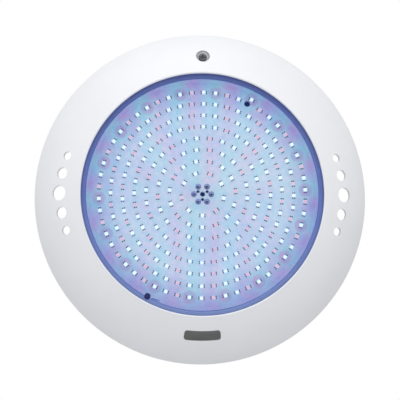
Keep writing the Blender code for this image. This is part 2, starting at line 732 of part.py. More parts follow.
def make_gland(lamp):
    """Cable gland: body through the shell, O-ring, rubber seal, compression nut and locknut."""
    section = [
        (GLAND_BORE, GLAND_TOP),
        (GLAND_THREAD_RADIUS, GLAND_TOP),
        (GLAND_THREAD_RADIUS, GLAND_TAIL),
        (GLAND_SEAT_BORE, GLAND_TAIL),
        (GLAND_SEAT_BORE, GLAND_SEAT_FRONT),
        (GLAND_BORE, GLAND_SEAT_FRONT),
    ]
    body = turned("gland_body", section, lamp, grey_nylon(), segments=24)
    flange = hexagon(
        "gland_flange", GLAND_HEX_RADIUS, GLAND_HEX_BACK, GLAND_HEX_FRONT, lamp, None, bore=GLAND_SEAT_BORE + 0.0008
    )
    boolean(body, "UNION", [flange])
    middle = (GLAND_HEX_FRONT + SHELL_BACK) / 2
    turned(
        "gland_o_ring", arc((O_RING_RADIUS, middle), O_RING_THICKNESS, 180, -135, 7), lamp, black_rubber(), segments=24
    )
    seal = [(SEAL_BORE, GLAND_SEAT_FRONT - GAP), (SEAL_OUTER, GLAND_SEAT_FRONT - GAP)]
    seal += [(SEAL_OUTER, NUT_FACE + GAP), (SEAL_BORE, NUT_FACE + GAP)]
    turned("gland_seal", seal, lamp, black_rubber(), segments=24)
    nut = [
        (NUT_CAVITY, NUT_FRONT),
        (NUT_OUTER, NUT_FRONT),
        (NUT_OUTER, NUT_BACK + 0.002),
        (NUT_OUTER - 0.002, NUT_BACK),
        (NUT_BORE, NUT_BACK),
        (NUT_BORE, NUT_FACE),
        (NUT_CAVITY, NUT_FACE),
    ]
    turned("gland_nut", nut, lamp, grey_nylon(), segments=24)
    hexagon("gland_locknut", LOCKNUT_RADIUS, POTTING_BACK, LOCKNUT_FRONT, lamp, grey_nylon(), GLAND_HOLE_RADIUS)


# ---------------------------------------------------------------- fixing screw and bracket


def make_fixing_screw(lamp, screw_axis):
    """The screw that holds the top of the lamp to the bracket, with its washer."""
    washer_back = COUNTERBORE_FLOOR + GAP
    washer_front = washer_back + WASHER_THICKNESS
    inner = SCREW_SHANK_RADIUS + GAP
    section = [(inner, washer_front), (WASHER_RADIUS, washer_front), (WASHER_RADIUS, washer_back), (inner, washer_back)]
    turned("screw_washer", section, lamp, white_nylon(), (0, SCREW_HEIGHT), segments=20)
    under_head = washer_front + GAP
    crown = under_head + SCREW_HEAD_HEIGHT
    profile = [
        (0, crown),
        (SCREW_HEAD_RADIUS * 0.7, crown),
        (SCREW_HEAD_RADIUS, crown - 0.0008),
        (SCREW_HEAD_RADIUS, under_head),
        (SCREW_SHANK_RADIUS, under_head),
        (SCREW_SHANK_RADIUS, SCREW_TIP + 0.001),
        (SCREW_SHANK_RADIUS * 0.7, SCREW_TIP),
        (0, SCREW_TIP),
    ]
    place = (0, SCREW_HEIGHT)
    screw = turned("fixing_screw", profile, screw_axis, stainless(), place, closed=False, segments=20)
    recess = [
        block(f"recess_{k}", size, (*place, crown), screw_axis, None)
        for k, size in enumerate([(0.0042, 0.0009, 0.0026), (0.0009, 0.0042, 0.0026)])
    ]
    boolean(screw, "DIFFERENCE", recess)


def bracket_side():
    """The bracket's section: the top tab, the flat plate on the wall and the hook at the bottom."""
    step = TAB_DEPTH * 0.8
    pin = (PIN_HEIGHT, PIN_DEPTH)
    leg_front = PIN_DEPTH - HOOK_BORE
    leg_back = leg_front - HOOK_SHEET
    leg_top = BEND_HEIGHT
    overlong = TAB_TOP + 0.005
    tab = [(overlong, TAB_DEPTH), (overlong, TAB_DEPTH + PLATE), (TAB_FOOT + step, TAB_DEPTH + PLATE)]
    flat_front = [(TAB_FOOT, PLATE), (leg_top + 0.0045, PLATE)]
    hook_inside = [(leg_top, leg_front)] + arc(pin, HOOK_BORE, 270, 90, 10)
    lip = [(PIN_HEIGHT + HOOK_LIP, PIN_DEPTH + HOOK_BORE), (PIN_HEIGHT + HOOK_LIP, PIN_DEPTH + HOOK_BORE + HOOK_SHEET)]
    hook_outside = arc(pin, HOOK_BORE + HOOK_SHEET, 90, 270, 10) + [(leg_top - 0.0006, leg_back)]
    flat_back = [(leg_top + 0.0038, 0), (TAB_FOOT + 0.0008, 0), (TAB_FOOT + step + 0.0008, TAB_DEPTH)]
    return tab + flat_front + hook_inside + lip + hook_outside + flat_back


def bracket_front():
    """The bracket seen from the front: a round hub with an arm up and an arm down."""
    top, bottom, hook = TOP_ARM_HALF_WIDTH, BOTTOM_ARM_HALF_WIDTH, HOOK_HALF_WIDTH
    to_top = math.degrees(math.acos(top / HUB_RADIUS))
    to_bottom = math.degrees(math.acos(bottom / HUB_RADIUS))
    corner = 0.004
    right = arc((0, 0), HUB_RADIUS, -to_bottom, to_top, 12) + arc((top - corner, TAB_TOP - corner), corner, 0, 90, 3)
    left = [(-x, y) for x, y in reversed(right)]
    foot = [(-bottom, BOTTOM_ARM_END + corner), (-bottom + corner, BOTTOM_ARM_END), (-hook, BOTTOM_ARM_END)]
    foot.append((-hook, PIN_HEIGHT - 0.02))
    return right + left + foot + [(-x, y) for x, y in reversed(foot)]


def make_bracket(wall):
    """The bent plate: its section drawn out sideways, then trimmed to its front outline."""
    bracket = plate("bracket_plate", [bracket_side()], 0.12, (0, 0, 0), wall, stainless(), side_on=True)
    outline = plate("bracket_outline", [bracket_front()], 0.04, (0, 0, 0.01), wall, None)
    boolean(bracket, "INTERSECT", [outline])
    holes = [("cable_hole", CABLE_HOLE_RADIUS, (0, 0), 32), ("tab_hole", SCREW_HOLE_RADIUS, (0, SCREW_HEIGHT), 16)]
    for k in range(4):
        holes.append((f"wall_hole_{k}", WALL_HOLE_RADIUS, on_circle(WALL_HOLE_CIRCLE, 45 + 90 * k), 12))
    for k, side in enumerate((-1, 1)):
        holes.append((f"arm_hole_{k}", WALL_HOLE_RADIUS, (0, side * ARM_HOLE_HEIGHT), 12))
    cuts = [drum(name, radius, -0.01, 0.03, wall, None, place, n) for name, radius, place, n in holes]
    boolean(bracket, "DIFFERENCE", cuts)
    nut = drum("clip_nut", CLIP_NUT_RADIUS, CLIP_NUT_BACK, TAB_DEPTH - GAP, wall, stainless(), (0, SCREW_HEIGHT), 6)
    bore = drum("clip_nut_bore", SCREW_HOLE_RADIUS, 0, 0.02, wall, None, (0, SCREW_HEIGHT), 16)
    boolean(nut, "DIFFERENCE", [bore])


def main():
    wall, lamp, screw_axis = start_scene()
    make_face_ring(lamp)
    make_optics(lamp)
    make_shell(lamp)
    make_led_board(lamp)
    make_potting(lamp)
    make_driver(lamp)
    make_leads(lamp)
    make_clamp(lamp)
    make_gland(lamp)
    make_fixing_screw(lamp, screw_axis)
    make_bracket(wall)


main()
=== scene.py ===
"""The looks of the underwater pool light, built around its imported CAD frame.

Pieces are drawn in the lamp's own directions: x to the right, y up the wall and z out of the wall, all in
metres from the point where the lamp's axis meets the wall. placed() turns them into the row's frame.
"""

import math

import bmesh
import bpy
import numpy as np
from mathutils import Matrix, Vector

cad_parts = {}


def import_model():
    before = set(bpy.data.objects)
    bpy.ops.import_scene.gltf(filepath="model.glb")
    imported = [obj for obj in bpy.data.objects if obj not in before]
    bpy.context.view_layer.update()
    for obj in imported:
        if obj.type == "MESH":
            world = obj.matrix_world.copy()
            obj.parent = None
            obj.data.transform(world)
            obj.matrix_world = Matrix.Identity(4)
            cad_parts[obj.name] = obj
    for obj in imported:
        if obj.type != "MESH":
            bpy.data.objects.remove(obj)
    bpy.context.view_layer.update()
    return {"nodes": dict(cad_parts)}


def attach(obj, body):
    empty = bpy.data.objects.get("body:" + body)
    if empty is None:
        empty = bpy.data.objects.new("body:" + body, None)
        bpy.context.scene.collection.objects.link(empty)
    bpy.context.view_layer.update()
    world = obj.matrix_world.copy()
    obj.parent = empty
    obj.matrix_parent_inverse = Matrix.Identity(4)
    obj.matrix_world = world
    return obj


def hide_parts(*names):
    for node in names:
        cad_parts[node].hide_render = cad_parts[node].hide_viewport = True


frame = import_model()

MM = 0.001
TO_ROW = Matrix.Rotation(math.pi / 2, 4, "X")

# Face ring, the same sizes as the CAD node
RIM_R = 145.0
LIP_R = 102.3
FRONT = 40.0
LIP_BACK = 37.6
RIM_BACK = 5.0
RING_WALL = 3.0
SLOPE_AT_LIP = math.radians(22)
SLOPE_AT_RIM = math.radians(54)
LIP_ROUND = 0.9
RIM_ROUND = 3.0
COLLAR_BORE = 104.3
COLLAR_OUTER = 107.3
COLLAR_BACK = 22.0
DOME_R = (RIM_R - LIP_R) / (math.sin(SLOPE_AT_RIM) - math.sin(SLOPE_AT_LIP))
DOME_CENTRE_R = LIP_R - DOME_R * math.sin(SLOPE_AT_LIP)
DOME_CENTRE_Z = FRONT - DOME_R * math.cos(SLOPE_AT_LIP)
FLOW_HOLES = [(-15.4, 3.6), (-8.05, 4.8), (0.0, 6.3), (8.05, 4.8), (15.4, 3.6)]
FLOW_INNER_EDGE = 115.5
FLOW_TILT = math.radians(8)
FLOW_SLOPE = math.radians(33.5)
FLOW_REACH = math.cos(FLOW_SLOPE) / math.cos(FLOW_SLOPE - FLOW_TILT)
SLOT_R = 119.2
SLOT_HALF = (15.45, 4.2)
SLOT_CORNER = 2.4
SCREW_Y = 119.5
POCKET_FLOOR = 23.0
POCKET_R = 6.0
SCREW_HOLE_R = 3.0
PIN_Y = -133.0
PIN_Z = 8.5
PIN_HOLE_R = 2.1
BEND_Y = -108.5
ARM_END = -126.8
CLAMP_SCREW_R = 109.2
CLAMP_BOSS_R = 4.2
CLAMP_PILOT_R = 1.7
CLAMP_ANGLES = [22.5 + 45 * k for k in range(8)]
RIB_ANGLES = CLAMP_ANGLES + [45 + 90 * k for k in range(4)]

# Lamp front
BOARD_R = 96.6
BOARD_FRONT = 28.6
RESIN_FRONT = 34.3
GASKET_FRONT = 34.3
LENS_FRONT = 37.3
LENS_BACK = 34.6
VENT_R = 97.9
VENT_ANGLE = -118.1
POUR_HOLE = (87.4, 64.0, 2.3)
CENTRE_HOLE_R = 1.85
WIRE_CIRCLE = 4.5
PAD_CIRCLE = 7.4
SLIT_R = 97.0
RESIN_EDGE = 98.2
LENS_EDGE = 103.8
# Low and high ends of a cutter that goes right through the board
BOARD_CUT = (20, 40)

# LEDs: eight rings, with one package of each ring at the bottom of the board
LED_RINGS = [9, 15, 21, 27, 36, 42, 48, 54]
OUTER_RING = len(LED_RINGS) - 1
BLUE, RED, GREEN = range(3)
FIRST_RING_R = 18.3
RING_PITCH = 9.94
BOARD_TURN = -0.5
LED_SIZE = 3.1
LED_TOP = BOARD_FRONT + 1.4
MOVED_LED = (OUTER_RING, 23, 4.2)
HALO_PATH = 2.9


# ---------------------------------------------------------------- materials


class Nodes:
    """Adds nodes to one material or world and links them."""

    def __init__(self, owner):
        owner.use_nodes = True
        self.tree = owner.node_tree
        self.tree.nodes.clear()

    def add(self, kind, inputs=None, **settings):
        node = self.tree.nodes.new("ShaderNode" + kind)
        for name, value in settings.items():
            setattr(node, name, value)
        for name, value in (inputs or {}).items():
            if isinstance(value, bpy.types.NodeSocket):
                self.tree.links.new(value, node.inputs[name])
            else:
                node.inputs[name].default_value = value
        return node

    def noise(self, scale, detail=4.0, roughness=0.55, stretch=None):
        where = self.add("TexCoord").outputs["Object"]
        if stretch:
            where = self.add("Mapping", {"Vector": where, "Scale": stretch}).outputs["Vector"]
        inputs = {"Vector": where, "Scale": scale, "Detail": detail, "Roughness": roughness}
        return self.add("TexNoise", inputs).outputs["Fac"]

    def span(self, value, low, high, start=0.0, end=1.0):
        made = self.add("MapRange", {0: value, 1: start, 2: end, 3: low, 4: high})
        return made.outputs[0]

    def mix(self, factor, a, b, mode="MIX"):
        made = self.add("Mix", data_type="RGBA", blend_type=mode)
        for socket, value in ((0, factor), (6, a), (7, b)):
            if isinstance(value, bpy.types.NodeSocket):
                self.tree.links.new(value, made.inputs[socket])
            else:
                made.inputs[socket].default_value = value if socket == 0 else (*value, 1.0)
        return made.outputs[2]

    def bump(self, height, strength, distance, after=None):
        inputs = {"Height": height, "Strength": strength, "Distance": distance}
        if after:
            inputs["Normal"] = after
        return self.add("Bump", inputs).outputs["Normal"]


def new_material(name):
    made = bpy.data.materials.new(name)
    return made, Nodes(made)


def output(nodes, shader, kind="OutputMaterial"):
    nodes.add(kind, {"Surface": shader})


def moulded(name, colour, roughness, grain=0.04, spots=0.03, grain_scale=2600.0, coat=0.0):
    """Moulded plastic or rubber: a fine grain, slow colour drift and slightly uneven gloss."""
    made, n = new_material(name)
    drift = n.noise(26.0, 3.0)
    light = tuple(min(c * (1 + spots), 1.0) for c in colour)
    dark = tuple(c * (1 - spots) for c in colour)
    base = n.mix(n.span(drift, 0.0, 1.0, 0.3, 0.7), dark, light)
    rough = n.span(n.noise(90.0, 5.0), roughness * 0.86, roughness * 1.16, 0.3, 0.7)
    fine = n.bump(n.noise(grain_scale, 2.0), grain, 0.00008)
    wave = n.bump(n.noise(60.0, 2.0), grain * 0.6, 0.0003, fine)
    shader = n.add("BsdfPrincipled", {"Base Color": base, "Roughness": rough, "Normal": wave})
    shader.inputs["Coat Weight"].default_value = coat
    shader.inputs["Coat Roughness"].default_value = 0.12
    output(n, shader.outputs[0])
    return made


def painted_light_seal_look(name, colour, below, above):
    """Blue silicone with painted light: base colour lighter at the bottom for the board's light, and painted
    shade darker at the top under the lip.
    """
    made, n = new_material(name)
    height = n.add("SeparateXYZ", {0: n.add("TexCoord").outputs["Object"]}).outputs["Z"]
    # Painted light towards the bottom, then painted shade towards the top.
    foot = n.mix(n.span(height, 1.0, 0.0, -0.1, 0.0), colour, below)
    seal_with_painted_shade = n.mix(n.span(height, 0.0, 1.0, 0.0, 0.1), foot, above)
    drift = n.span(n.noise(26.0, 3.0), 0.0, 1.0, 0.3, 0.7)
    base = n.mix(1.0, seal_with_painted_shade, n.mix(drift, (0.96, 0.96, 0.96), (1.0, 1.0, 1.0)), "MULTIPLY")
    rough = n.span(n.noise(90.0, 5.0), 0.39, 0.52, 0.3, 0.7)
    relief = n.bump(n.noise(900.0, 2.0), 0.03, 0.00008)
    output(n, n.add("BsdfPrincipled", {"Base Color": base, "Roughness": rough, "Normal": relief}).outputs[0])
    return made


def brushed(name, colour, roughness, stretch=(40.0, 900.0, 900.0), stain=0.10):
    """Rolled stainless steel: fine lines along x, cloudy stains and rubbed patches."""
    made, n = new_material(name)
    lines = n.noise(1.0, 4.0, 0.6, stretch)
    cloud = n.noise(34.0, 5.0)
    dark = tuple(c * (1 - stain) for c in colour)
    base = n.mix(n.span(cloud, 0.0, 1.0, 0.35, 0.7), colour, dark)
    rough = n.span(lines, roughness * 0.8, roughness * 1.25, 0.3, 0.7)
    relief = n.bump(lines, 0.12, 0.00005)
    values = {"Base Color": base, "Roughness": rough, "Metallic": 1.0, "Normal": relief}
    output(n, n.add("BsdfPrincipled", values).outputs[0])
    return made


def see_through(name, tint, gloss_roughness, ior):
    """Clear sheet: tinted, with the gloss of its front surface and a little polish unevenness."""
    made, n = new_material(name)
    cloud = n.noise(18.0, 3.0)
    paler = tuple(min(1.0, c * 1.02) for c in tint)
    colour = n.mix(n.span(cloud, 0.0, 1.0, 0.35, 0.65), tint, paler)
    relief = n.bump(n.noise(22.0, 2.0), 0.05, 0.0004)
    clear = n.add("BsdfTransparent", {"Color": colour})
    gloss = n.add("BsdfGlossy", {"Roughness": gloss_roughness, "Normal": relief})
    edge = n.add("Fresnel", {"IOR": ior, "Normal": relief}).outputs[0]
    front = n.span(n.add("NewGeometry").outputs["Backfacing"], 1.0, 0.0)
    share = n.add("Math", {0: edge, 1: front}, operation="MULTIPLY").outputs[0]
    mixed = n.add("MixShader", {0: share, 1: clear.outputs[0], 2: gloss.outputs[0]})
    output(n, mixed.outputs[0])
    return made


def board_painted_light_look(name):
    """White board mask with painted light: its emission is the LEDs' light on the board, worked out for each
    vertex from the LEDs around it, with painted patches and mottle.
    """
    made, n = new_material(name)
    glow = n.add("VertexColor", layer_name="glow").outputs["Color"]
    cloud = n.noise(55.0, 4.0)
    fibre = n.noise(1.0, 2.0, 0.5, (900.0, 900.0, 2600.0))
    patched = n.mix(n.span(cloud, 0.0, 1.0, 0.30, 0.70), (0.93, 0.95, 0.97), (1.0, 1.0, 1.0))
    shade = n.mix(1.0, glow, patched, "MULTIPLY")
    mottle = n.span(n.noise(330.0, 3.0, 0.7), 0.0, 1.0, 0.40, 0.60)
    shade = n.mix(1.0, shade, n.mix(mottle, (0.84, 0.95, 0.99), (1.13, 1.0, 1.0)), "MULTIPLY")
    base = n.mix(n.span(fibre, 0.0, 1.0, 0.3, 0.7), (0.13, 0.16, 0.24), (0.16, 0.19, 0.27))
    relief = n.bump(fibre, 0.04, 0.00005)
    values = {"Base Color": base, "Roughness": 0.6, "Emission Color": shade, "Emission Strength": 1.0}
    output(n, n.add("BsdfPrincipled", {**values, "Normal": relief}).outputs[0])
    return made


def lit(name, colour, glow, strength, roughness=0.35):
    """LED resin or package: a surface that glows, brighter at the middle of each package."""
    made, n = new_material(name)
    speck = n.noise(900.0, 2.0)
    dimmer = tuple(c * 0.93 for c in glow)
    emission = n.mix(n.span(speck, 0.0, 1.0, 0.3, 0.7), dimmer, glow)
    values = {"Base Color": (*colour, 1.0), "Roughness": roughness, "Emission Color": emission}
    output(n, n.add("BsdfPrincipled", {**values, "Emission Strength": strength}).outputs[0])
    return made


# ---------------------------------------------------------------- shapes


def placed(mesh, name, body, look, replaces=(), smooth=34):
    """Turns a mesh in millimetres into a named piece in the row's frame that rides on a body."""
    mesh.transform(TO_ROW @ Matrix.Scale(MM, 4))
    numbers = [face.material_index for face in mesh.polygons]
    mesh.materials.clear()
    for each in look if isinstance(look, list) else [look]:
        mesh.materials.append(each)
    mesh.polygons.foreach_set("material_index", numbers)
    mesh.shade_smooth()
    mesh.set_sharp_from_angle(angle=math.radians(smooth))
    mesh.name = name
    piece = bpy.data.objects.new(name, mesh)
    bpy.context.scene.collection.objects.link(piece)
    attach(piece, body)
    if replaces:
        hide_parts(*replaces)
    return piece


def to_mesh(shape, name="part"):
    bmesh.ops.recalc_face_normals(shape, faces=shape.faces)
    mesh = bpy.data.meshes.new(name)
    shape.to_mesh(mesh)
    shape.free()
    return mesh


def lathe(profile, segments, at=(0.0, 0.0), closed=True):
    """A section of (radius, z) points turned about z. An open section starts and ends on the axis."""
    shape = bmesh.new()
    rings = []
    for radius, z in profile:
        if radius < 1e-6:
            rings.append([shape.verts.new((at[0], at[1], z))])
            continue
        angles = [2 * math.pi * k / segments for k in range(segments)]
        rings.append([
            shape.verts.new((at[0] + radius * math.cos(a), at[1] + radius * math.sin(a), z)) for a in angles
        ])
    pairs = list(zip(rings, rings[1:])) + ([(rings[-1], rings[0])] if closed else [])
    for near, far in pairs:
        for k in range(segments):
            j = (k + 1) % segments
            quad = [near[k % len(near)], near[j % len(near)], far[j % len(far)], far[k % len(far)]]
            corners = list(dict.fromkeys(quad))
            if len(corners) > 2:
                shape.faces.new(corners)
    return to_mesh(shape)


def prism(outline, low, high, bevel=0.0):
    """A flat outline drawn out along z, with its edges rounded when bevel is given."""
    shape = bmesh.new()
    floor = [shape.verts.new((x, y, low)) for x, y in outline]
    top = [shape.verts.new((x, y, high)) for x, y in outline]
    shape.faces.new(floor)
    shape.faces.new(top)
    for k in range(len(outline)):
        j = (k + 1) % len(outline)
        shape.faces.new((floor[k], floor[j], top[j], top[k]))
    if bevel:
        bmesh.ops.recalc_face_normals(shape, faces=shape.faces)
        sharp = [e for e in shape.edges if e.calc_face_angle(0) > math.radians(40)]
        bmesh.ops.bevel(shape, geom=sharp, offset=bevel, segments=2, affect="EDGES", profile=0.5)
    return to_mesh(shape)


def side_prism(outline, half_width):
    """An outline of (y, z) points drawn out along x, both ways from the middle."""
    mesh = prism(outline, -half_width, half_width)
    mesh.transform(Matrix(((0, 0, 1, 0), (1, 0, 0, 0), (0, 1, 0, 0), (0, 0, 0, 1))))
    return mesh


def moved(mesh, matrix):
    mesh.transform(matrix)
    return mesh


def joined(meshes):
    """One mesh of several, keeping their material numbers."""
    shape = bmesh.new()
    for mesh in meshes:
        shape.from_mesh(mesh)
        bpy.data.meshes.remove(mesh)
    mesh = bpy.data.meshes.new("joined")
    shape.to_mesh(mesh)
    shape.free()
    return mesh


def combined(mesh, operation, tools, overlapping=False):
    """The exact Boolean of a mesh with all its tools at once."""
    base = bpy.data.objects.new("base", mesh)
    tool = bpy.data.objects.new("tool", joined(tools))
    for item in (base, tool):
        bpy.context.scene.collection.objects.link(item)
    modifier = base.modifiers.new("cut", "BOOLEAN")
    modifier.operation = operation
    modifier.object = tool
    modifier.use_self = overlapping
    bpy.context.view_layer.update()
    made = bpy.data.meshes.new_from_object(base.evaluated_get(bpy.context.evaluated_depsgraph_get()))
    for item in (base, tool):
        bpy.data.objects.remove(item)
    return made


def arc(centre, radius, start, end, steps):
    angles = [math.radians(start + (end - start) * k / steps) for k in range(steps + 1)]
    return [(centre[0] + radius * math.cos(a), centre[1] + radius * math.sin(a)) for a in angles]


def on_circle(radius, degrees):
    angle = math.radians(degrees)
    return radius * math.cos(angle), radius * math.sin(angle)


def rod(radius, low, high, at=(0.0, 0.0), segments=48, chamfer=0.0):
    """A round bar along z, chamfered at both ends."""
    c = chamfer or radius * 0.02
    profile = [(0, high), (radius - c, high), (radius, high - c)]
    profile += [(radius, low + c), (radius - c, low), (0, low)]
    return lathe(profile, segments, at, closed=False)


def tube(inner, outer, low, high, at=(0.0, 0.0), segments=96, chamfer=0.3):
    """A ring of rectangular section with chamfered corners."""
    c = chamfer
    profile = [
        (inner, high - c), (inner + c, high), (outer - c, high), (outer, high - c),
        (outer, low + c), (outer - c, low), (inner + c, low), (inner, low + c),
    ]
    return lathe(profile, segments, at)


def rounded_box(half_x, half_y, low, high, at=(0.0, 0.0), turn=0.0, corner=0.4, steps=3):
    """A box with rounded upright edges, turned about z."""
    centres = [(half_x - corner, half_y - corner, 0), (corner - half_x, half_y - corner, 90),
               (corner - half_x, corner - half_y, 180), (half_x - corner, corner - half_y, 270)]
    outline = [p for x, y, a in centres for p in arc((x, y), corner, a, a + 90, steps)]
    mesh = prism(outline, low, high)
    return moved(mesh, Matrix.Translation((*at, 0)) @ Matrix.Rotation(turn, 4, "Z"))


def hexagon(radius, low, high, at=(0.0, 0.0), chamfer=0.7):
    """A hexagon bar with its corners turned off at both ends, as on a nut."""
    bar = prism([on_circle(radius, 60 * k) for k in range(6)], low, high)
    cone = lathe(
        [(0, high), (radius - chamfer * 1.6, high), (radius, high - chamfer), (radius, low + chamfer),
         (radius - chamfer * 1.6, low), (0, low)], 72, closed=False,
    )
    return moved(combined(bar, "INTERSECT", [cone]), Matrix.Translation((*at, 0)))


def thread(radius, pitch, low, high, at=(0.0, 0.0), segments=32, depth=0.35):
    """A threaded shank: a bar whose surface rises and falls along a helix."""
    shape = bmesh.new()
    rows = max(2, int((high - low) / pitch * 8))
    rings = []
    for row in range(rows + 1):
        z = low + (high - low) * row / rows
        fade = min(1.0, row / 4, (rows - row) / 4)
        ring = []
        for k in range(segments):
            a = 2 * math.pi * k / segments
            wave = abs(((z / pitch - k / segments) % 1.0) * 2 - 1)
            r = radius - depth * fade * wave - (1 - fade) * depth * 0.6
            ring.append(shape.verts.new((at[0] + r * math.cos(a), at[1] + r * math.sin(a), z)))
        rings.append(ring)
    for near, far in zip(rings, rings[1:]):
        for k in range(segments):
            j = (k + 1) % segments
            shape.faces.new((near[k], near[j], far[j], far[k]))
    shape.faces.new(rings[0])
    shape.faces.new(rings[-1])
    return to_mesh(shape)


# ---------------------------------------------------------------- face ring


def dome_arc(inset, first, last, steps):
    """(radius, z) points of the dome, set in from its outer face, between two radii."""
    reach = DOME_R - inset
    a, b = math.asin((first - DOME_CENTRE_R) / reach), math.asin((last - DOME_CENTRE_R) / reach)
    slopes = [a + (b - a) * k / steps for k in range(steps + 1)]
    return [(DOME_CENTRE_R + reach * math.sin(s), DOME_CENTRE_Z + reach * math.cos(s)) for s in slopes]


def dome_height(radius):
    """The depth of the dome's outer face at a radius."""
    return DOME_CENTRE_Z + math.sqrt(DOME_R ** 2 - (radius - DOME_CENTRE_R) ** 2)


def ring_section():
    """The ring's section, with a rounded lip, a rolled rim edge and the rear collar."""
    r = LIP_ROUND
    lip = [(LIP_R + 0.3, LIP_BACK), (LIP_R, LIP_BACK + 0.3)]
    lip += arc((LIP_R + r, FRONT - r), r, 180, 180 - 90 + math.degrees(SLOPE_AT_LIP) * -1, 6)
    dome = dome_arc(0, LIP_R + r + 0.5, RIM_R - RIM_ROUND * (1 - math.sin(SLOPE_AT_RIM)), 30)
    round_centre = (RIM_R - RIM_ROUND, dome[-1][1] - RIM_ROUND * math.cos(SLOPE_AT_RIM))
    rim = arc(round_centre, RIM_ROUND, 90 - math.degrees(SLOPE_AT_RIM), 0, 8)[1:]
    rim += [(RIM_R - 0.3, RIM_BACK + 0.15), (RIM_R - 0.6, RIM_BACK), (RIM_R - RING_WALL, RIM_BACK)]
    inner = dome_arc(RING_WALL, RIM_R - RING_WALL, COLLAR_OUTER, 14)
    collar = [(COLLAR_OUTER, COLLAR_BACK), (COLLAR_BORE, COLLAR_BACK), (COLLAR_BORE, LIP_BACK)]
    return lip + dome + rim + inner + collar


def slot_outline(margin=0.0):
    """The slot at the bottom of the ring, bent to the ring's circle."""
    c = SLOT_CORNER + margin
    u, v = SLOT_HALF[0] + margin - c, SLOT_HALF[1] + margin - c
    corners = arc((u, v), c, 0, 90, 6) + arc((-u, v), c, 90, 180, 6)
    corners += arc((-u, -v), c, 180, 270, 6) + arc((u, -v), c, 270, 360, 6)
    spread = []
    for (ua, va), (ub, vb) in zip(corners, corners[1:] + corners[:1]):
        parts = max(1, int(abs(ub - ua) / 3))
        spread += [(ua + (ub - ua) * k / parts, va + (vb - va) * k / parts) for k in range(parts)]
    return [on_circle(SLOT_R - b, -90 + math.degrees(a / SLOT_R)) for a, b in spread]


def face_ring(look):
    """The domed ring with its bosses, ribs, hinge ears, flow holes, slot and screw pocket."""
    ring = lathe(ring_section(), 288)
    inset = RING_WALL / 2
    under = dome_arc(inset, COLLAR_BORE + inset, RIM_R - inset, 14)
    envelope = lathe(under + [(RIM_R - inset, 0), (COLLAR_BORE + inset, 0)], 288)
    adds = [rod(9.0, 12.6, 45, (0, SCREW_Y), 48, 0.5)]
    adds += [rod(CLAMP_BOSS_R, COLLAR_BACK, 45, on_circle(CLAMP_SCREW_R, a), 32, 0.2) for a in CLAMP_ANGLES]
    foot = [(RIM_R - inset, 7.4)] + dome_arc(RING_WALL + 3.5, COLLAR_BORE + inset, 133.0, 10)[::-1]
    top = [(COLLAR_BORE + inset, 45), (RIM_R - inset, 45)]
    for angle in RIB_ANGLES:
        adds.append(moved(side_prism(top + foot, 1.0), Matrix.Rotation(math.radians(angle - 90), 4, "Z")))
    for side in (-14.0, 14.0):
        ear = [(PIN_Y - 3.8, 45)] + arc((PIN_Y, PIN_Z), 3.8, 180, 360, 20) + [(PIN_Y + 3.8, 45)]
        adds.append(moved(side_prism(ear, 1.8), Matrix.Translation((side, 0, 0))))
    adds = combined(joined(adds), "INTERSECT", [envelope], overlapping=True)
    ring = combined(ring, "UNION", [adds], overlapping=True)
    cuts = []
    for middle in (180, 0):
        for angle, radius in FLOW_HOLES:
            centre_r = FLOW_INNER_EDGE + radius * FLOW_REACH
            lean = Matrix.Rotation(math.radians(middle + angle), 4, "Z") @ Matrix.Rotation(FLOW_TILT, 4, "Y")
            at = Matrix.Translation((*on_circle(centre_r, middle + angle), dome_height(centre_r)))
            cuts.append(moved(rod(radius, -15, 15, segments=56), at @ lean))
    cuts.append(prism(slot_outline(), -5, 60))
    cuts.append(rod(POCKET_R, POCKET_FLOOR, 60, (0, SCREW_Y), 56))
    cuts.append(rod(SCREW_HOLE_R, -5, 30, (0, SCREW_Y), 40))
    cuts += [rod(CLAMP_PILOT_R, -5, 31.8, on_circle(CLAMP_SCREW_R, a), 20) for a in CLAMP_ANGLES]
    pin_hole = moved(rod(PIN_HOLE_R, -30, 30, (0, 0), 28), Matrix.Rotation(math.pi / 2, 4, "Y"))
    cuts.append(moved(pin_hole, Matrix.Translation((0, PIN_Y, PIN_Z))))
    ring = combined(ring, "DIFFERENCE", cuts, overlapping=True)
    return placed(ring, "ring_moulding", "lamp", look, ["face_ring"], smooth=30)


# ---------------------------------------------------------------- lamp front


def led_places():
    """(x, y, angle, kind, ring) of each LED. Kinds repeat blue, red, green round a ring from the bottom.

    One LED stands further out, to make room for the hole that the resin is poured through.
    """
    places = []
    for row, count in enumerate(LED_RINGS):
        for k in range(count):
            angle = BOARD_TURN - 90 + 360 * k / count
            out = MOVED_LED[2] if (row, k) == MOVED_LED[:2] else 0.0
            x, y = on_circle(FIRST_RING_R + RING_PITCH * row + out, angle)
            places.append((x, y, math.radians(angle), k % 3, row))
    return places


def halo(distance):
    """How much light an LED sends back to the board at a distance, off the resin's front face.

    Past the critical angle all of it comes back, which draws the bright ring around each LED.
    """
    index = 1.47
    theta = np.arctan(distance / (2 * HALO_PATH))
    sine = np.clip(np.sin(theta) * index, 0, 1)
    inside = np.cos(theta)
    outside = np.sqrt(1 - sine**2)
    reflected = 0.5 * ((inside * index - outside) / (inside * index + outside)) ** 2
    reflected += 0.5 * ((inside - outside * index) / (inside + outside * index)) ** 2
    return reflected * inside**4


LED_GLOW = {BLUE: (0.30, 0.66, 1.00), RED: (1.00, 0.30, 0.75), GREEN: (0.22, 1.00, 0.92)}
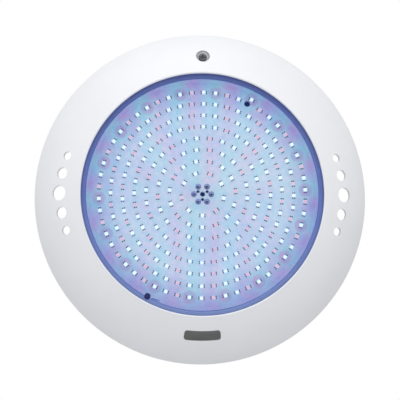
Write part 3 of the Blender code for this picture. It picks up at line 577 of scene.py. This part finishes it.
# Colours of each kind's resin cup and of its case
LED_TINTS = {
    "blue": ((0.88, 0.95, 1.0), (0.84, 0.92, 0.98)),
    "green": ((0.88, 0.98, 1.0), (0.84, 0.95, 0.98)),
    "red": ((0.95, 0.42, 0.56), (0.98, 0.62, 0.74)),
}
# Painted light on the board: its level, a dimmer edge, the contrast of the LED colours, a colour shift at the
# bottom of the edge, and painted shade discs with lighter rims round the outer green LEDs.
BOARD_LEVEL = np.array((0.555, 0.593, 0.603))
BOARD_EDGE = np.array((0.300, 0.268, 0.425))
CONTRAST = np.array((0.34, 0.36, 0.22))
EDGE_CONTRAST = np.array((0.10, 0.60, 0.20))
FOOT_CALM = 0.6
FOOT_LIGHT_SHIFT = np.array((0.06, -0.05, 0.02))
DISC_R = 5.8
DISC_PAINTED_SHADE = np.array((-0.08, -0.24, -0.15))
RIM_PAINTED_LIGHT = np.array((-0.14, 0.08, 0.03))
SPREAD = 5.5


def painted_led_light_sum(points):
    """The painted light of all LEDs at (x, y) points: a soft painted pool near each one and its halo off the
    resin's face.
    """
    total = np.zeros((len(points), 3))
    for x, y, _, kind, row in led_places():
        d = np.hypot(points[:, 0] - x, points[:, 1] - y)
        near = np.exp(-0.5 * (d / SPREAD) ** 2) * 0.12
        ring = halo(d) * (2.0 if row == OUTER_RING and kind == GREEN else 0.8)
        total += (near + ring)[:, None] * np.array(LED_GLOW[kind])
    return total


def painted_board_light(points):
    """The board's painted light at (x, y) points, in linear colour: dimmer towards the edge, with painted
    shade discs and lighter rims round the outer green LEDs.
    """
    grid = np.stack(np.mgrid[-78:79:2, -78:79:2], axis=-1).reshape(-1, 2).astype(float)
    mean = painted_led_light_sum(grid[np.hypot(grid[:, 0], grid[:, 1]) < 78]).mean(axis=0)
    spread = painted_led_light_sum(points) / mean
    bright = spread.mean(axis=1)[:, None]
    radius = np.hypot(points[:, 0], points[:, 1])
    edge = np.clip((radius - 70) / (BOARD_R - 70), 0, 1)[:, None]
    foot = edge * np.clip(-points[:, 1] / BOARD_R, 0, 1)[:, None]
    tint = (CONTRAST + EDGE_CONTRAST * edge) * (spread / bright - 1) * (1 - FOOT_CALM * foot)
    level = (BOARD_LEVEL + (BOARD_EDGE - BOARD_LEVEL) * edge) * (1 + tint) * (1 + FOOT_LIGHT_SHIFT * foot)
    level *= 1 + 0.12 * (1 - edge) * (bright - 1)
    # Painted shade inside a disc round each outer green LED, and painted light on its rim.
    for x, y, _, kind, row in led_places():
        if row == OUTER_RING and kind == GREEN:
            d = np.hypot(points[:, 0] - x, points[:, 1] - y)
            disc = np.clip((DISC_R + 0.5 - d) / 1.0, 0, 1)[:, None]
            rim = (np.clip((d - DISC_R) / 0.8, 0, 1) * np.exp(-np.clip(d - DISC_R, 0, 50) / 4.0))[:, None]
            level *= 1 + DISC_PAINTED_SHADE * disc + RIM_PAINTED_LIGHT * rim
    return np.clip(level, 0.01, 1)


def with_glow(mesh):
    """Stores the board's painted light on each vertex of a mesh in millimetres."""
    places = np.empty(len(mesh.vertices) * 3)
    mesh.vertices.foreach_get("co", places)
    colour = painted_board_light(places.reshape(-1, 3)[:, :2])
    glow = mesh.color_attributes.new("glow", "FLOAT_COLOR", "POINT")
    glow.data.foreach_set("color", np.column_stack([colour, np.ones(len(colour))]).ravel())
    return mesh


def led_board(look):
    """The LED board with its holes. Rings and spokes are close enough together to carry the painted light."""
    rows = [(BOARD_R, BOARD_FRONT - 1.6), (BOARD_R, BOARD_FRONT)]
    rows += [(BOARD_R - 0.85 * k, BOARD_FRONT) for k in range(1, 113)] + [(0, BOARD_FRONT)]
    board = lathe([(0, BOARD_FRONT - 1.6)] + rows, 300, closed=False)
    cuts = [rod(CENTRE_HOLE_R, *BOARD_CUT, (0, 0), 32)]
    cuts.append(rod(POUR_HOLE[2], *BOARD_CUT, on_circle(*POUR_HOLE[:2]), 40))
    cuts += [rod(1.1, *BOARD_CUT, on_circle(WIRE_CIRCLE, 30 + 120 * k), 24) for k in range(3)]
    cuts += [rod(0.9, *BOARD_CUT, on_circle(PAD_CIRCLE, 60 * k), 20) for k in range(6)]
    board = combined(board, "DIFFERENCE", cuts)
    return placed(with_glow(board), "board_with_painted_light", "lamp", look, ["led_board"])


def led_package():
    """One surface-mount LED: a chamfered body, a round cup of resin, three dies and its four legs.

    Material numbers: 0 body, 1 resin in the cup, 2 dies, 3 legs.
    """
    half = LED_SIZE / 2
    low, top = BOARD_FRONT + 0.05, LED_TOP
    body = rounded_box(half, half, low, top, corner=0.35)
    cup = lathe([(0, top - 0.25), (1.15, top - 0.25), (1.35, top + 0.5), (0, top + 0.5)], 24, closed=False)
    body = combined(body, "DIFFERENCE", [cup])
    pieces = [(body, 0)]
    gel = [(0, top - 0.02), (0.8, top - 0.05), (1.18, top - 0.16), (1.1, top - 0.3), (0, top - 0.3)]
    pieces.append((lathe(gel, 24, closed=False), 1))
    for k in range(3):
        at = on_circle(0.5, 90 + 120 * k)
        pieces.append((rounded_box(0.22, 0.22, top - 0.1, top + 0.03, at, corner=0.05, steps=1), 2))
    for side in (-1, 1):
        for k in (-1, 1):
            leg = rounded_box(0.55, 0.45, low - 0.02, low + 0.5, (k * 0.8, side * (half + 0.6)), corner=0.12)
            pieces.append((leg, 3))
    for mesh, number in pieces:
        for face in mesh.polygons:
            face.material_index = number
    return joined([mesh for mesh, _ in pieces])


def leds(looks):
    """All LEDs of each colour in one piece. A package's legs point along its ring."""
    names = ("blue", "red", "green")
    package = led_package()
    for kind, name in enumerate(names):
        shape = bmesh.new()
        for x, y, angle, each, _ in led_places():
            if each != kind:
                continue
            copy = package.copy()
            copy.transform(Matrix.Translation((x, y, 0)) @ Matrix.Rotation(angle, 4, "Z"))
            shape.from_mesh(copy)
            bpy.data.meshes.remove(copy)
        mesh = bpy.data.meshes.new(name)
        shape.to_mesh(mesh)
        shape.free()
        placed(mesh, f"leds_{name}", "lamp", looks[name])


def board_fittings(solder, dark):
    """Solder pads with the ends of the leads in them, and the dark edges and backs of the board's holes;
    their navy is painted shade, partly the potting's own dark.
    """
    pads = []
    for k in range(6):
        at = on_circle(PAD_CIRCLE, 60 * k)
        z = BOARD_FRONT
        ring = [(0.85, z + 0.02), (0.85, z + 0.55), (1.5, z + 0.32), (2.45, z + 0.10), (2.5, z + 0.02)]
        pads.append(lathe(ring, 32, at))
    placed(joined(pads), "solder_pads", "lamp", solder)
    ends = [rod(0.55, BOARD_FRONT - 2, BOARD_FRONT + 0.25, on_circle(PAD_CIRCLE, 60 * k), 20)
            for k in range(6)]
    holes = [tube(1.9, 2.2, BOARD_FRONT + 0.01, BOARD_FRONT + 0.08, (0, 0), 32, 0.02)]
    holes += [tube(1.15, 1.4, BOARD_FRONT + 0.01, BOARD_FRONT + 0.08, on_circle(WIRE_CIRCLE, 30 + 120 * k),
                   24, 0.02) for k in range(3)]
    holes.append(tube(POUR_HOLE[2], POUR_HOLE[2] + 0.3, BOARD_FRONT + 0.01, BOARD_FRONT + 0.08,
                      on_circle(*POUR_HOLE[:2]), 40, 0.02))
    # Navy discs behind the holes: painted shade, partly the dark potting.
    back = rod(12.0, BOARD_FRONT - 2.1, BOARD_FRONT - 1.8, (0, 0), 48)
    plug = rod(4.0, BOARD_FRONT - 2.1, BOARD_FRONT - 1.8, on_circle(*POUR_HOLE[:2]), 32)
    placed(joined(ends + holes + [back, plug]), "board_holes_painted_shade", "lamp", dark)


def lens_stack(lens_look, resin_look, spill_look, band_look, dark, painted_groove_shade_look):
    """The lens, the cast resin's face, and the blue gasket under the lens's edge, with its vent and slit."""
    edge = LENS_EDGE
    lens = [(0, LENS_FRONT), (edge - 0.5, LENS_FRONT), (edge, LENS_FRONT - 0.5), (edge, LENS_BACK + 0.3)]
    lens += [(edge - 0.3, LENS_BACK), (0, LENS_BACK)]
    placed(lathe(lens, 256, closed=False), "lens_sheet", "lamp", lens_look, ["lens"])
    face = [(0, RESIN_FRONT - 0.22), (RESIN_EDGE - 0.1, RESIN_FRONT - 0.22)]
    face += [(RESIN_EDGE, RESIN_FRONT - 0.24), (RESIN_EDGE, RESIN_FRONT - 0.28), (0, RESIN_FRONT - 0.28)]
    placed(lathe(face, 256, closed=False), "resin_face", "lamp", resin_look, ["front_resin"])
    z, low = GASKET_FRONT, GASKET_FRONT - 0.9
    band = [(98.9, low), (98.9, z - 0.3), (99.2, z - 0.1), (100.4, z)]
    band += [(103.4, z), (103.6, z - 0.2), (103.6, low)]
    band = lathe(band, 288)
    vent = rod(2.8, 20, 45, on_circle(VENT_R, VENT_ANGLE), 40)
    slit_angle = VENT_ANGLE + math.degrees(7.3 / SLIT_R)
    slit = rounded_box(1.3, 4.5, 20, 45, on_circle(SLIT_R, slit_angle), math.radians(slit_angle), 0.6)
    band = combined(band, "DIFFERENCE", [vent, slit], overlapping=True)
    placed(band, "gasket_band", "lamp", band_look, ["lens_gasket"])
    # A darker blue ring at the gasket's inner edge: painted shade of the groove between the board and the
    # gasket.
    bead = tube(98.3, 98.9, low, z - 0.3, segments=288, chamfer=0.1)
    placed(bead, "gasket_bead_painted_shade", "lamp", painted_groove_shade_look)
    # The resin spill at the board's edge carries the board's painted light.
    spill = [(96.3, BOARD_FRONT + 0.1), (96.3, z - 0.45), (96.8, z - 0.3), (97.9, z - 0.3), (98.3, z - 0.4)]
    spill = lathe(spill + [(98.3, low), (96.7, low), (96.7, BOARD_FRONT + 0.1)], 288)
    placed(with_glow(spill), "resin_spill", "lamp", spill_look)
    # A dark navy disc in the vent notch: painted shade of the notch.
    at = on_circle(VENT_R - 0.1, VENT_ANGLE)
    plug = [(0, z - 0.1), (2.1, z - 0.14), (2.7, z - 0.35), (2.75, z - 0.85), (0, z - 0.9)]
    plug = lathe(plug, 40, at, closed=False)
    placed(plug, "vent_plug_painted_shade", "lamp", dark)
    # A darker blue floor in the slit: painted shade of the slit.
    groove_at = on_circle(97.4, slit_angle)
    groove = rounded_box(0.5, 3.6, z - 0.7, z - 0.2, groove_at, math.radians(slit_angle + 5), 0.3)
    placed(groove, "vent_slit", "lamp", painted_groove_shade_look)


# ---------------------------------------------------------------- back of the lamp


def lamp_back(shell_look, nylon, steel, rubber):
    """Rear shell with its steps and ribs, clamp ring with eight screws, and the cable gland."""
    shell = [(8.3, 17.5), (94.5, 17.5), (94.5, 26.7), (96.9, 26.7), (96.9, 33.1), (103.7, 33.1)]
    shell += [(104.0, 32.8), (104.0, 22.3), (103.7, 22.0), (99.4, 22.0)]
    shell += arc((95.4, 19.0), 4.0, 0, -90, 10)
    for radius in (88.0, 62.0, 36.0):
        shell += [(radius, 15.0), (radius - 0.4, 15.5), (radius - 1.6, 15.5), (radius - 2.0, 15.0)]
    shell += [(17.0, 15.0), (8.3, 15.0)]
    placed(lathe(shell, 240), "rear_shell", "lamp", shell_look, ["lamp_shell"])
    ring = tube(99.8, 109.0, 19.3, 21.7, segments=240, chamfer=0.35)
    ears = [rod(4.3, 19.3, 21.7, on_circle(CLAMP_SCREW_R, a), 40, 0.35) for a in CLAMP_ANGLES]
    ring = combined(ring, "UNION", ears, overlapping=True)
    holes = [rod(1.8, 10, 30, on_circle(CLAMP_SCREW_R, a), 24) for a in CLAMP_ANGLES]
    ring = combined(ring, "DIFFERENCE", holes)
    placed(ring, "clamp_ring_moulding", "lamp", nylon, ["clamp_ring"])
    for k, angle in enumerate(CLAMP_ANGLES):
        screw = pan_screw(1.5, 3.1, 1.8, 19.0, 31.2, 1.1)
        flip = Matrix.Translation((*on_circle(CLAMP_SCREW_R, angle), 0)) @ Matrix.Rotation(0.7 * k, 4, "Z")
        name = f"clamp_screw_{k + 1}"
        placed(moved(screw, flip), f"{name}_detail", "lamp", steel, [name])
    gland(nylon, rubber)


def pan_screw(radius, head_radius, head_height, under, tip, pitch):
    """A self-tapping screw that points to +z, with a domed head and a cross recess behind."""
    crown = under - head_height
    head = [(0, crown), (head_radius * 0.45, crown + 0.05), (head_radius * 0.8, crown + 0.35)]
    head += [(head_radius, crown + head_height * 0.6), (head_radius * 0.98, under), (0, under)]
    head = lathe(head, 40, closed=False)
    recess = [rounded_box(a, b, crown - 1, crown + head_height * 0.55, corner=0.1, steps=1)
              for a, b in ((head_radius * 0.55, 0.42), (0.42, head_radius * 0.55))]
    head = combined(head, "DIFFERENCE", recess, overlapping=True)
    shank = thread(radius, pitch, under - 0.05, tip, segments=20, depth=0.35)
    return joined([head, shank])


def gland(nylon, rubber):
    """Body, O-ring, seal, ribbed compression nut and locknut on the lamp's axis."""
    bore = [(6.2, 4.5), (6.2, 9.6), (4.6, 10.4), (4.6, 21.0)]
    bore += [(7.6, 21.0), (8.0, 20.6), (8.0, 4.9), (7.6, 4.5)]
    bore = lathe(bore, 96)
    flange = combined(hexagon(12.4, 9.6, 12.9, chamfer=0.6), "DIFFERENCE", [rod(7.0, 0, 30)])
    body = combined(bore, "UNION", [flange])
    placed(body, "gland_body_detail", "lamp", nylon, ["gland_body"])
    seal_ring = lathe(arc((10.0, 13.95), 0.75, 180, -165, 23), 96)
    placed(seal_ring, "o_ring_detail", "lamp", rubber, ["gland_o_ring"])
    seal = [(3.4, 9.0), (3.7, 9.3), (5.7, 9.3), (5.9, 9.0), (5.9, 4.3), (5.7, 4.1), (3.7, 4.1), (3.4, 4.4)]
    placed(lathe(seal, 64), "seal_detail", "lamp", rubber, ["gland_seal"])
    nut = [(8.3, 9.3), (10.5, 9.3), (10.8, 9.0), (10.8, 4.2), (10.2, 3.0), (8.8, 2.2), (4.4, 2.2), (4.0, 2.5)]
    nut = lathe(nut + [(4.0, 3.8), (8.3, 3.8)], 120)
    grooves = [rod(0.55, 3.6, 12, on_circle(11.0, 15 * k), 16) for k in range(24)]
    nut = combined(nut, "DIFFERENCE", grooves)
    placed(nut, "gland_nut_detail", "lamp", nylon, ["gland_nut"])
    lock = combined(hexagon(12.2, 17.8, 20.6), "DIFFERENCE", [rod(8.3, 0, 30, segments=64)])
    placed(lock, "gland_locknut_detail", "lamp", nylon, ["gland_locknut"])


# ---------------------------------------------------------------- bracket and fixings


def bracket(steel):
    """The bent plate, its rounded corners and punched holes."""
    pin, bore, sheet = (PIN_Y, PIN_Z), 2.15, 1.8
    side = [(134, 10), (134, 12)] + [(112.2, 12), (110.6, 11.5)] + [(103.8, 2.6), (102.4, 2.0)]
    side += [(BEND_Y + 5.0, 2.0), (BEND_Y + 3.8, 2.4), (BEND_Y + 0.8, 5.7), (BEND_Y - 0.4, PIN_Z - bore)]
    side += arc(pin, bore, 270, 90, 20) + [(PIN_Y + 2, PIN_Z + bore), (PIN_Y + 2, PIN_Z + bore + sheet)]
    side += arc(pin, bore + sheet, 90, 270, 20) + [(BEND_Y - 1.2, 4.5), (BEND_Y - 0.2, 4.1)]
    side += [(BEND_Y + 3.0, 0.6), (BEND_Y + 4.4, 0.0)]
    side += [(103.2, 0.0), (104.6, 0.6), (111.4, 9.4), (113.0, 10.0)]
    plate = side_prism(side, 60)
    top, low, hook, hub, corner = 13.0, 18.0, 9.0, 46.0, 4.0
    to_top, to_low = math.degrees(math.acos(top / hub)), math.degrees(math.acos(low / hub))
    right = arc((0, 0), hub, -to_low, to_top, 60) + arc((top - corner, 129 - corner), corner, 0, 90, 8)
    foot = arc((-low + corner, ARM_END + corner), corner, 180, 270, 6) + [(-hook, ARM_END), (-hook, -155)]
    outline = right + [(-x, y) for x, y in reversed(right)] + foot + [(-x, y) for x, y in reversed(foot)]
    plate = combined(plate, "INTERSECT", [prism(outline, -10, 40)])
    holes = [rod(22.0, -5, 8, (0, 0), 96), rod(SCREW_HOLE_R, -5, 20, (0, SCREW_Y), 40)]
    holes += [rod(2.75, -5, 8, on_circle(34.0, 45 + 90 * k), 32) for k in range(4)]
    holes += [rod(2.75, -5, 8, (0, y), 32) for y in (-84.0, 84.0)]
    plate = combined(plate, "DIFFERENCE", holes)
    placed(plate, "bracket_sheet", "wall_bracket", steel, ["bracket_plate"], smooth=28)


def fixings(steel, washer_look):
    """The fixing screw, its washer, the clip nut and the hinge pin."""
    under = POCKET_FLOOR + 1.4
    crown = under + 2.5
    head = [(0, crown), (2.2, crown), (3.1, crown - 0.25), (3.5, crown - 0.9), (3.5, under + 0.15)]
    head += [(3.35, under), (0, under)]
    recess = [rounded_box(a, b, crown - 1.4, crown + 1, (0, 0), corner=0.12, steps=1)
              for a, b in ((2.1, 0.5), (0.5, 2.1))]
    head = combined(lathe(head, 64, closed=False), "DIFFERENCE", recess, overlapping=True)
    shank = thread(2.4, 0.7, 5.0, under + 0.05, segments=28, depth=0.3)
    screw = moved(joined([head, shank]), Matrix.Translation((0, SCREW_Y, 0)))
    placed(screw, "fixing_screw_detail", "screw", steel, ["fixing_screw"])
    washer = tube(2.7, 5.0, POCKET_FLOOR + 0.3, POCKET_FLOOR + 1.1, (0, SCREW_Y), 64, 0.15)
    placed(washer, "washer_detail", "screw_carriage", washer_look, ["screw_washer"])
    nut = combined(hexagon(5.6, 5.6, 9.7), "DIFFERENCE", [rod(SCREW_HOLE_R, 0, 20, segments=40)])
    nut = moved(nut, Matrix.Translation((0, SCREW_Y, 0)))
    placed(nut, "clip_nut_detail", "wall_bracket", steel, ["clip_nut"])
    pin = moved(rod(1.8, -17.0, 17.0, (0, 0), 40, 0.35), Matrix.Rotation(math.pi / 2, 4, "Y"))
    pin = moved(pin, Matrix.Translation((0, PIN_Y, PIN_Z)))
    placed(pin, "hinge_pin_detail", "lamp", steel, ["hinge_pin"])


def inner_looks():
    """Materials for the CAD nodes that stay: the potting, the driver board with its parts, and the leads."""
    looks = {"potting_block": moulded("epoxy_cast", (0.05, 0.055, 0.065), 0.3, 0.02, 0.12, 500)}
    looks["driver_board"] = moulded("solder_mask_green", (0.02, 0.20, 0.08), 0.35, 0.1, 0.15, 1500)
    chip = moulded("chip_black", (0.02, 0.02, 0.022), 0.5, 0.15, 0.2, 3000)
    for name in ("rectifier", "controller_ic", "mosfet_1", "mosfet_2", "mosfet_3", "inductor"):
        looks[name] = chip
    looks["terminal_block"] = moulded("terminal_grey", (0.22, 0.23, 0.24), 0.45)
    sleeve = moulded("capacitor_sleeve_look", (0.03, 0.04, 0.12), 0.25)
    looks["capacitor_1"] = looks["capacitor_2"] = sleeve
    wires = [(0.55, 0.03, 0.03), (0.04, 0.35, 0.08), (0.03, 0.08, 0.5), (0.8, 0.8, 0.78), (0.75, 0.6, 0.05),
             (0.02, 0.02, 0.02)]
    for k, colour in enumerate(wires):
        looks[f"led_lead_{k + 1}"] = moulded(f"wire_look_{k + 1}", colour, 0.4, 0.03, 0.08)
    for name, look in looks.items():
        slots = frame["nodes"][name].data.materials
        slots.clear()
        slots.append(look)


# ---------------------------------------------------------------- studio


CAMERA_AZIMUTH = math.radians(-2.66)
CAMERA_ELEVATION = math.radians(-5.57)
CAMERA_DISTANCE = 0.740
CAMERA_AIM = Vector((-0.0011, -0.005, -0.0027))
CAMERA_LENS = 75.85
CAMERA_ROLL = math.radians(0.14)
# Each light's place, the point it faces, its size across in metres and its watts
KEY_LIGHT = ((-0.1, -0.75, 1.5), (0, 0, 0.05), 1.3, 8.6)
FILL_LIGHT = ((-0.1, -1.75, -0.2), (0, 0, 0), 1.6, 10.3)


def camera():
    made = bpy.data.cameras.new("camera")
    made.lens = CAMERA_LENS
    made.sensor_width = 36.0
    made.clip_start = 0.01
    eye = bpy.data.objects.new("camera", made)
    level = math.cos(CAMERA_ELEVATION)
    across = (math.sin(CAMERA_AZIMUTH) * level, -math.cos(CAMERA_AZIMUTH) * level)
    away = Vector((*across, math.sin(CAMERA_ELEVATION)))
    eye.location = CAMERA_AIM + away * CAMERA_DISTANCE
    look = (-away).to_track_quat("-Z", "Y").to_matrix().to_4x4()
    roll = Matrix.Rotation(CAMERA_ROLL, 4, "Z")
    eye.matrix_world = Matrix.Translation(eye.location) @ look @ roll
    bpy.context.scene.collection.objects.link(eye)
    bpy.context.scene.camera = eye


def soft_light(name, place, aim, size, watts, mirrored=True):
    """A round area light. If it isn't mirrored, shiny surfaces don't show it."""
    made = bpy.data.lights.new(name, "AREA")
    made.shape = "DISK"
    made.size = size
    made.energy = watts
    item = bpy.data.objects.new(name, made)
    item.location = place
    item.rotation_euler = (Vector(aim) - Vector(place)).to_track_quat("-Z", "Y").to_euler()
    item.visible_glossy = mirrored
    bpy.context.scene.collection.objects.link(item)


def world():
    """White behind the object, and a plain soft sky that is brighter above than below for its light."""
    made = bpy.data.worlds.new("studio")
    bpy.context.scene.world = made
    n = Nodes(made)
    up = n.add("SeparateXYZ", {"Vector": n.add("TexCoord").outputs["Generated"]}).outputs["Z"]
    level = n.span(up, 0.56, 0.80, -1.0, 1.0)
    sky = n.add("Background", {"Color": (0.97, 0.98, 1.0, 1.0), "Strength": level})
    white = n.add("Background", {"Color": (1.0, 1.0, 1.0, 1.0), "Strength": 1.0})
    seen = n.add("LightPath").outputs["Is Camera Ray"]
    both = n.add("MixShader", {0: seen, 1: sky.outputs[0], 2: white.outputs[0]})
    output(n, both.outputs[0], "OutputWorld")


def floor():
    """A plain pale disc, below the camera's view."""
    mesh = lathe([(0, -300), (780, -300), (800, -303), (800, -315), (0, -315)], 128, closed=False)
    mesh.transform(Matrix.Scale(MM, 4))
    made = bpy.data.objects.new("floor", mesh)
    mesh.materials.append(moulded("floor_paint", (0.62, 0.62, 0.63), 0.7))
    mesh.shade_smooth()
    mesh.set_sharp_from_angle(angle=math.radians(34))
    bpy.context.scene.collection.objects.link(made)


def studio():
    bpy.context.scene.view_settings.view_transform = "Standard"
    world()
    floor()
    soft_light("key", *KEY_LIGHT)
    soft_light("fill", *FILL_LIGHT, mirrored=False)


def main():
    camera()
    studio()
    ring_white = moulded("ring_white", (0.80, 0.805, 0.825), 0.46, 0.05, 0.012, 2600)
    shell_white = moulded("shell_white", (0.74, 0.745, 0.76), 0.45, 0.08, 0.03)
    nylon = moulded("nylon_grey", (0.30, 0.31, 0.33), 0.42, 0.08, 0.06)
    rubber = moulded("rubber_black", (0.03, 0.03, 0.032), 0.6, 0.12, 0.15)
    # Band silicone, with painted light at the bottom and painted shade at the top.
    band = painted_light_seal_look("silicone_blue_painted_light", (0.157, 0.194, 0.47), (0.235, 0.287, 0.52), (0.120, 0.150, 0.38))
    # Dark navy: painted shade in the vent notch and in the board's holes, over the potting's own dark.
    navy = moulded("navy_painted_shade", (0.010, 0.012, 0.11), 0.55, 0.05, 0.15, 900)
    steel = brushed("stainless_sheet", (0.385, 0.39, 0.375), 0.48)
    bright_steel = brushed("stainless_turned", (0.60, 0.60, 0.61), 0.24, (900.0, 900.0, 900.0))
    # Tin coloured blue: the blue is painted light from the LEDs.
    solder = brushed("solder_tin_painted_blue_light", (0.52, 0.50, 0.80), 0.42, (900.0, 900.0, 900.0), 0.30)
    # Dark navy legs: painted shade at each package's sides.
    leg = moulded("led_leg_painted_shade", (0.035, 0.045, 0.12), 0.35, 0.05, 0.2, 900)
    face_ring(ring_white)
    # The board's mask, whose emission is painted light from the LEDs.
    mask = board_painted_light_look("board_mask_painted_light")
    led_board(mask)
    looks = {}
    for name, (gel, case) in LED_TINTS.items():
        shell = lit(f"led_case_{name}", (0.5, 0.5, 0.5), case, 0.62 if name != "red" else 0.50)
        cup = lit(f"led_gel_{name}", (0.4, 0.4, 0.4), gel, 0.95 if name != "red" else 0.75, 0.15)
        die = lit(f"led_die_{name}", (0.3, 0.3, 0.3), gel if name != "red" else (0.95, 0.16, 0.30), 1.0)
        looks[name] = [shell, cup, die, leg]
    leds(looks)
    board_fittings(solder, navy)
    # Darker blue for the gasket's groove and the slit's floor: painted shade.
    slit = moulded("slit_blue_painted_shade", (0.09, 0.15, 0.46), 0.45, 0.05, 0.15, 900)
    lens_stack(see_through("lens_clear", (0.93, 0.96, 1.0), 0.03, 1.12),
               see_through("resin_clear", (0.93, 0.96, 1.0), 0.05, 1.05), mask, band, navy, slit)
    lamp_back(shell_white, nylon, bright_steel, rubber)
    bracket(steel)
    # A darker copy of the stainless for the fixings: painted shade of the screw deep in its pocket.
    fixings(brushed("stainless_painted_shade", (0.21, 0.21, 0.215), 0.5, (900.0, 900.0, 900.0), 0.3),
            moulded("nylon_white", (0.70, 0.70, 0.69), 0.45, 0.08, 0.04))
    inner_looks()


main()
